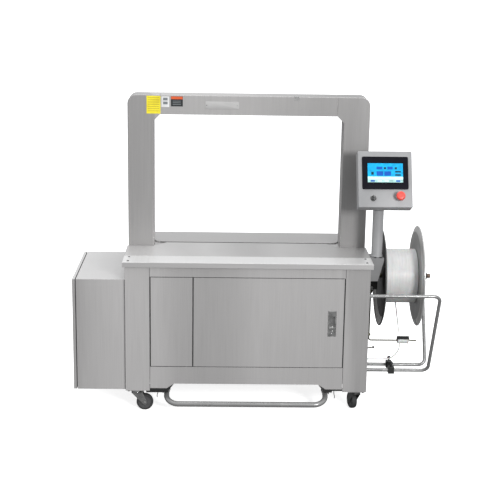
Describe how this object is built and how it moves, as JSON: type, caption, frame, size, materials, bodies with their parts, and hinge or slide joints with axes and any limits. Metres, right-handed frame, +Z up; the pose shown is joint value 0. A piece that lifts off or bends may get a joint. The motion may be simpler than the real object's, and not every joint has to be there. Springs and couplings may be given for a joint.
{
  "type": "strapping_machine",
  "caption": "Arch strapping machine: stainless cabinet on casters, strap arch over a slotted table, side reel with guard, tilted control box and foot bar",
  "frame": {"origin": "middle of the bounding box, on the floor under the wheels", "axes": "X runs along the width with the strap reel at +X, the operator stands at -Y, Z is up"},
  "size_m": [1.6229, 0.604, 1.377],
  "materials": {
    "brushed_stainless": "brushed",
    "bright_steel": "satin",
    "grey_paint": "satin",
    "reel_grey": "satin",
    "black_paint": "satin",
    "dark_steel": "satin",
    "motor_blue": "gloss",
    "zinc_plate": "satin",
    "black_plastic": "matte",
    "red_plastic": "gloss",
    "white_strap": "satin",
    "rubber": "matte"
  },
  "bodies": {
    "machine": {"base_tray": "brushed_stainless", "deck_plate": "brushed_stainless", "front_post_left": "brushed_stainless", "front_post_right": "brushed_stainless", "front_top_rail": "brushed_stainless", "front_apron": "brushed_stainless", "front_panel": "brushed_stainless", "side_panel_left": "brushed_stainless", "side_panel_right": "brushed_stainless", "rear_panel": "brushed_stainless", "table_edge_strip": "bright_steel", "arch_column_left": "brushed_stainless", "arch_column_right": "brushed_stainless", "arch_beam": "brushed_stainless", "strap_track": "bright_steel", "side_box_shell": "brushed_stainless", "pedal_bracket_left": "black_paint", "pedal_bracket_right": "black_paint", "post_bracket": "grey_paint", "control_post": "grey_paint", "reel_bracket": "black_paint", "guard_tube_front": "grey_paint", "guard_tube_rear": "grey_paint", "tube_clamp": "black_paint", "strap_feed": "white_strap", "strapping_head": "grey_paint", "drive_motor": "motor_blue"},
    "front_door": {"front_door": "brushed_stainless", "door_handle": "zinc_plate"},
    "door_lock": {"door_lock": "bright_steel"},
    "side_box_door": {"side_box_door": "brushed_stainless"},
    "table_plate_front": {"table_plate_front": "brushed_stainless"},
    "table_plate_rear": {"table_plate_rear": "brushed_stainless"},
    "pedal": {"pedal_bar": "grey_paint"},
    "control_head": {"control_box": "grey_paint", "hmi_bezel": "black_plastic", "estop_collar": "grey_paint"},
    "estop_button": {"estop_button": "red_plastic"},
    "mode_switch": {"mode_switch": "zinc_plate"},
    "reel": {"reel_axle": "dark_steel", "reel_flange_inner": "reel_grey", "reel_flange_outer": "reel_grey", "strap_coil": "white_strap"},
    "reel_knob": {"reel_knob": "dark_steel"},
    "clamp_knob_front": {"clamp_knob_front": "black_plastic"},
    "clamp_knob_rear": {"clamp_knob_rear": "black_plastic"},
    "dancer": {"dancer_arm": "dark_steel"},
    "dancer_roller": {"dancer_roller": "white_strap"},
    "feed_lever": {"feed_lever": "dark_steel"},
    "cam_shaft": {"cam_shaft": "bright_steel"},
    "feed_roller_drive": {"feed_roller_drive": "rubber"},
    "feed_roller_pinch": {"feed_roller_pinch": "rubber"},
    "caster_front_left_fork": {"caster_front_left_fork": "zinc_plate"},
    "caster_front_left_wheel": {"caster_front_left_wheel": "rubber"},
    "caster_front_right_fork": {"caster_front_right_fork": "zinc_plate"},
    "caster_front_right_wheel": {"caster_front_right_wheel": "rubber"},
    "caster_rear_left_fork": {"caster_rear_left_fork": "zinc_plate"},
    "caster_rear_left_wheel": {"caster_rear_left_wheel": "rubber"},
    "caster_rear_right_fork": {"caster_rear_right_fork": "zinc_plate"},
    "caster_rear_right_wheel": {"caster_rear_right_wheel": "rubber"}
  },
  "joints": [
    {"name": "front_door_hinge", "type": "hinge", "parent": "machine", "child": "front_door", "pos_m": [-0.282, -0.271, 0.419], "axis": [0, 0, -1], "range_deg": [0, 110]},
    {"name": "door_lock_turn", "type": "hinge", "parent": "front_door", "child": "door_lock", "pos_m": [0.3265, -0.271, 0.379], "axis": [0, 1, 0], "range_deg": [0, 90]},
    {"name": "side_box_door_hinge", "type": "hinge", "parent": "machine", "child": "side_box_door", "pos_m": [-0.8115, 0.231, 0.3555], "axis": [0, 0, -1], "range_deg": [0, 110]},
    {"name": "table_plate_front_hinge", "type": "hinge", "parent": "machine", "child": "table_plate_front", "pos_m": [-0.0465, -0.1657, 0.692], "axis": [1, 0, 0], "range_deg": [0, 95]},
    {"name": "table_plate_rear_hinge", "type": "hinge", "parent": "machine", "child": "table_plate_rear", "pos_m": [-0.0465, 0.302, 0.692], "axis": [-1, 0, 0], "range_deg": [0, 95]},
    {"name": "pedal_press", "type": "hinge", "parent": "machine", "child": "pedal", "pos_m": [-0.0465, -0.205, 0.086], "axis": [1, 0, 0], "range_deg": [0, 8], "stiffness_Nm_per_rad": 15, "springref_deg": -14.32},
    {"name": "control_head_swivel", "type": "hinge", "parent": "machine", "child": "control_head", "pos_m": [0.5285, -0.128, 0.92], "axis": [0, 0, 1], "range_deg": [-60, 90]},
    {"name": "estop_press", "type": "slide", "parent": "control_head", "child": "estop_button", "axis": [-0.0159, 0.9134, -0.4067], "range_m": [0, 0.005], "stiffness_N_per_m": 800, "springref_m": -0.005},
    {"name": "mode_switch_turn", "type": "hinge", "parent": "control_head", "child": "mode_switch", "pos_m": [0.49311, -0.21549, 0.97235], "axis": [-0.0159, 0.9134, -0.4067], "range_deg": [0, 90]},
    {"name": "reel_spin", "type": "hinge", "parent": "machine", "child": "reel", "pos_m": [0.6505, 0.015, 0.5635], "axis": [1, 0, 0], "continuous": true},
    {"name": "reel_knob_turn", "type": "hinge", "parent": "reel", "child": "reel_knob", "pos_m": [0.7485, 0.015, 0.5635], "axis": [1, 0, 0], "continuous": true},
    {"name": "clamp_knob_front_turn", "type": "hinge", "parent": "machine", "child": "clamp_knob_front", "pos_m": [0.6315, -0.025, 0.14], "axis": [0, 0, 1], "continuous": true},
    {"name": "clamp_knob_rear_turn", "type": "hinge", "parent": "machine", "child": "clamp_knob_rear", "pos_m": [0.6315, 0.055, 0.14], "axis": [0, 0, 1], "continuous": true},
    {"name": "dancer_swing", "type": "hinge", "parent": "machine", "child": "dancer", "pos_m": [0.5275, 0.015, 0.49], "axis": [1, 0, 0], "range_deg": [-30, 30], "deforming": ["strap_feed"]},
    {"name": "dancer_roller_spin", "type": "hinge", "parent": "dancer", "child": "dancer_roller", "pos_m": [0.6865, 0.015, 0.251], "axis": [1, 0, 0], "continuous": true},
    {"name": "feed_lever_tilt", "type": "hinge", "parent": "machine", "child": "feed_lever", "pos_m": [0.4585, -0.065, 0.232], "axis": [0, 1, 0], "range_deg": [-10, 10], "stiffness_Nm_per_rad": 2},
    {"name": "cam_shaft_spin", "type": "hinge", "parent": "machine", "child": "cam_shaft", "pos_m": [-0.0465, 0.095, 0.545], "axis": [1, 0, 0], "continuous": true},
    {"name": "feed_roller_drive_spin", "type": "hinge", "parent": "machine", "child": "feed_roller_drive", "pos_m": [0.3935, 0.046, 0.172], "axis": [0, 0, 1], "continuous": true},
    {"name": "feed_roller_pinch_spin", "type": "hinge", "parent": "machine", "child": "feed_roller_pinch", "pos_m": [0.3935, -0.004, 0.172], "axis": [0, 0, 1], "continuous": true},
    {"name": "caster_front_left_swivel", "type": "hinge", "parent": "machine", "child": "caster_front_left_fork", "pos_m": [-0.5375, -0.237, 0.09], "axis": [0, 0, 1], "continuous": true},
    {"name": "caster_front_left_spin", "type": "hinge", "parent": "caster_front_left_fork", "child": "caster_front_left_wheel", "pos_m": [-0.4985, -0.237, 0.0375], "axis": [0, 1, 0], "continuous": true},
    {"name": "caster_front_right_swivel", "type": "hinge", "parent": "machine", "child": "caster_front_right_fork", "pos_m": [0.4445, -0.237, 0.09], "axis": [0, 0, 1], "continuous": true},
    {"name": "caster_front_right_spin", "type": "hinge", "parent": "caster_front_right_fork", "child": "caster_front_right_wheel", "pos_m": [0.43441, -0.19933, 0.0375], "axis": [-0.9659, -0.2588, 0], "continuous": true},
    {"name": "caster_rear_left_swivel", "type": "hinge", "parent": "machine", "child": "caster_rear_left_fork", "pos_m": [-0.5375, 0.245, 0.09], "axis": [0, 0, 1], "continuous": true},
    {"name": "caster_rear_left_spin", "type": "hinge", "parent": "caster_rear_left_fork", "child": "caster_rear_left_wheel", "pos_m": [-0.518, 0.21123, 0.0375], "axis": [0.866, 0.5, 0], "continuous": true},
    {"name": "caster_rear_right_swivel", "type": "hinge", "parent": "machine", "child": "caster_rear_right_fork", "pos_m": [0.4445, 0.245, 0.09], "axis": [0, 0, 1], "continuous": true},
    {"name": "caster_rear_right_spin", "type": "hinge", "parent": "caster_rear_right_fork", "child": "caster_rear_right_wheel", "pos_m": [0.425, 0.21123, 0.0375], "axis": [0.866, -0.5, 0], "continuous": true}
  ],
  "couplings": [
    {"joint": "feed_roller_pinch_spin", "follows": "feed_roller_drive_spin", "ratio": -1.6667}
  ]
}
